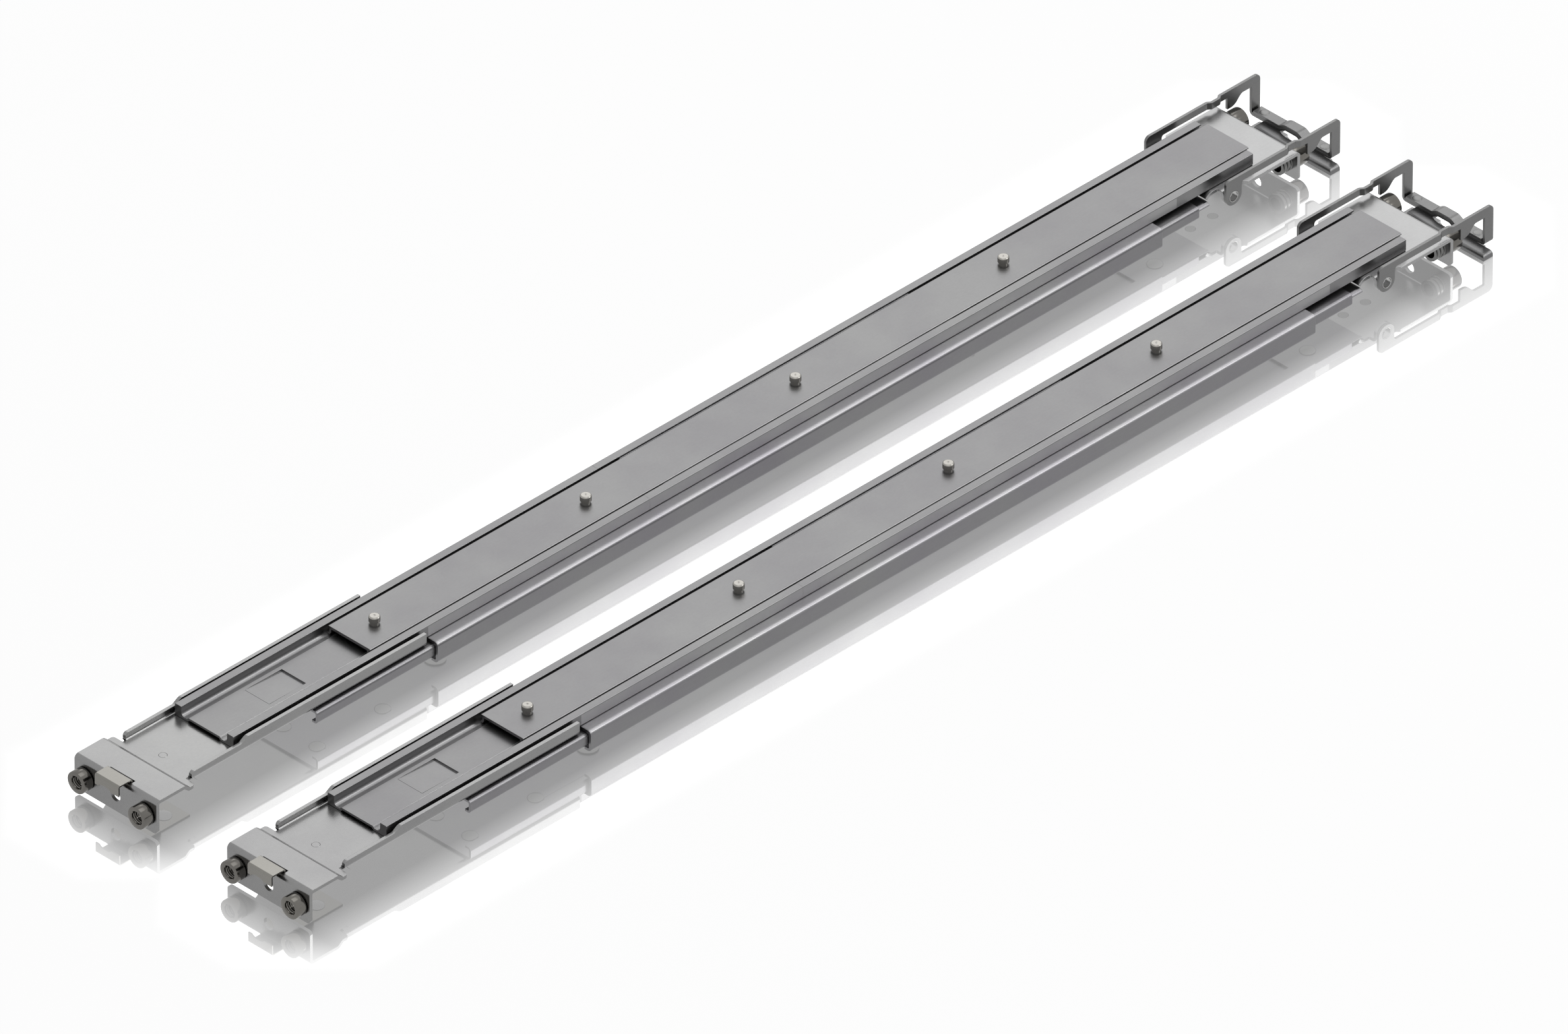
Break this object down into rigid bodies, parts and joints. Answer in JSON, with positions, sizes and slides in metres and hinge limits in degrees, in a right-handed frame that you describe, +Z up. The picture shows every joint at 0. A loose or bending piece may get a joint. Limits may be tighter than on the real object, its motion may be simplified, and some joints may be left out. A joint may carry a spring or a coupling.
{
  "type": "sliding server rail pair",
  "caption": "Pair of ball-bearing server slide rails with telescoping rear brackets, guide posts, a sprung rear hook clip and a hinged front latch.",
  "frame": {"origin": "middle of the pair's outline on the surface that it lies on", "axes": "+X along the rails, towards the front of the rack; +Y across, from the right rail to the left one; +Z up, the side that the server hangs on"},
  "size_m": [0.6266, 0.128, 0.0232],
  "materials": {
    "channel_steel": "zinc plated sheet, satin",
    "slide_steel": "zinc plated roll-formed steel, satin",
    "bracket_steel": "zinc plated sheet, satin",
    "front_plate_steel": "zinc plated sheet, bright satin",
    "latch_steel": "zinc plated sheet, satin",
    "pull_plate_steel": "dark plated sheet, satin",
    "post_steel": "turned and nickel plated, bright",
    "spring_steel": "polished spring sheet",
    "rivet_steel": "plain satin rivet heads",
    "ball_steel": "polished bearing steel",
    "cage_steel": "plain strip"
  },
  "bodies": {
    "root": {"right_extension_guide_rivet": "rivet_steel", "right_support_channel": "channel_steel", "right_slide_rivets": "rivet_steel", "right_slide_outer_member": "slide_steel", "right_front_bracket": "front_plate_steel", "right_front_rivets": "rivet_steel", "right_front_guide_posts": "post_steel", "right_front_lock_rings": "post_steel", "right_latch_pivot_eyelets": "rivet_steel", "left_extension_guide_rivet": "rivet_steel", "left_support_channel": "channel_steel", "left_slide_rivets": "rivet_steel", "left_slide_outer_member": "slide_steel", "left_front_bracket": "front_plate_steel", "left_front_rivets": "rivet_steel", "left_front_guide_posts": "post_steel", "left_front_lock_rings": "post_steel", "left_latch_pivot_eyelets": "rivet_steel"},
    "right_rear_extension": {"right_rear_bracket": "bracket_steel", "right_rear_guide_posts": "post_steel", "right_rear_clip_root": "spring_steel", "right_rear_clip_rivet": "rivet_steel", "right_rear_extension_channel": "channel_steel", "right_rear_rivets": "rivet_steel", "right_extension_stop": "channel_steel", "right_extension_stop_rivets": "rivet_steel"},
    "right_rear_clip": {"right_rear_hook_clip": "spring_steel"},
    "right_inner_slide": {"right_slide_inner_member": "slide_steel", "right_mounting_studs": "post_steel"},
    "right_ball_cage": {"right_ball_cages": "cage_steel", "right_slide_balls": "ball_steel"},
    "right_latch": {"right_latch_frame": "latch_steel", "right_latch_grip_strip": "latch_steel", "right_latch_pull_plate": "pull_plate_steel", "right_latch_rivets": "rivet_steel"},
    "left_rear_extension": {"left_rear_bracket": "bracket_steel", "left_rear_guide_posts": "post_steel", "left_rear_clip_root": "spring_steel", "left_rear_clip_rivet": "rivet_steel", "left_rear_extension_channel": "channel_steel", "left_rear_rivets": "rivet_steel", "left_extension_stop": "channel_steel", "left_extension_stop_rivets": "rivet_steel"},
    "left_rear_clip": {"left_rear_hook_clip": "spring_steel"},
    "left_inner_slide": {"left_slide_inner_member": "slide_steel", "left_mounting_studs": "post_steel"},
    "left_ball_cage": {"left_ball_cages": "cage_steel", "left_slide_balls": "ball_steel"},
    "left_latch": {"left_latch_frame": "latch_steel", "left_latch_grip_strip": "latch_steel", "left_latch_pull_plate": "pull_plate_steel", "left_latch_rivets": "rivet_steel"}
  },
  "joints": [
    {"name": "right_rear_extension", "type": "slide", "parent": "root", "child": "right_rear_extension", "axis": [-1, 0, 0], "range_m": [0, 0.28]},
    {"name": "right_rear_clip", "type": "hinge", "parent": "right_rear_extension", "child": "right_rear_clip", "pos_m": [-0.2915, -0.03795, 0.0128], "axis": [0, 1, 0], "range_deg": [0, 6.5], "stiffness_Nm_per_rad": 0.3, "springref_deg": -2.86},
    {"name": "right_inner_slide", "type": "slide", "parent": "root", "child": "right_inner_slide", "axis": [1, 0, 0], "range_m": [0, 0.3]},
    {"name": "right_ball_cage", "type": "slide", "parent": "root", "child": "right_ball_cage", "axis": [1, 0, 0], "range_m": [0, 0.15]},
    {"name": "right_latch", "type": "hinge", "parent": "root", "child": "right_latch", "pos_m": [0.2563, -0.03795, 0.0114], "axis": [0, -1, 0], "range_deg": [0, 10], "stiffness_Nm_per_rad": 1.2, "springref_deg": -22.92},
    {"name": "left_rear_extension", "type": "slide", "parent": "root", "child": "left_rear_extension", "axis": [-1, 0, 0], "range_m": [0, 0.28]},
    {"name": "left_rear_clip", "type": "hinge", "parent": "left_rear_extension", "child": "left_rear_clip", "pos_m": [-0.2915, 0.04235, 0.0128], "axis": [0, 1, 0], "range_deg": [0, 6.5], "stiffness_Nm_per_rad": 0.3, "springref_deg": -2.86},
    {"name": "left_inner_slide", "type": "slide", "parent": "root", "child": "left_inner_slide", "axis": [1, 0, 0], "range_m": [0, 0.3]},
    {"name": "left_ball_cage", "type": "slide", "parent": "root", "child": "left_ball_cage", "axis": [1, 0, 0], "range_m": [0, 0.15]},
    {"name": "left_latch", "type": "hinge", "parent": "root", "child": "left_latch", "pos_m": [0.2563, 0.04235, 0.0114], "axis": [0, -1, 0], "range_deg": [0, 10], "stiffness_Nm_per_rad": 1.2, "springref_deg": -22.92}
  ],
  "couplings": [
    {"joint": "right_ball_cage", "follows": "right_inner_slide", "ratio": 0.5},
    {"joint": "left_ball_cage", "follows": "left_inner_slide", "ratio": 0.5}
  ]
}
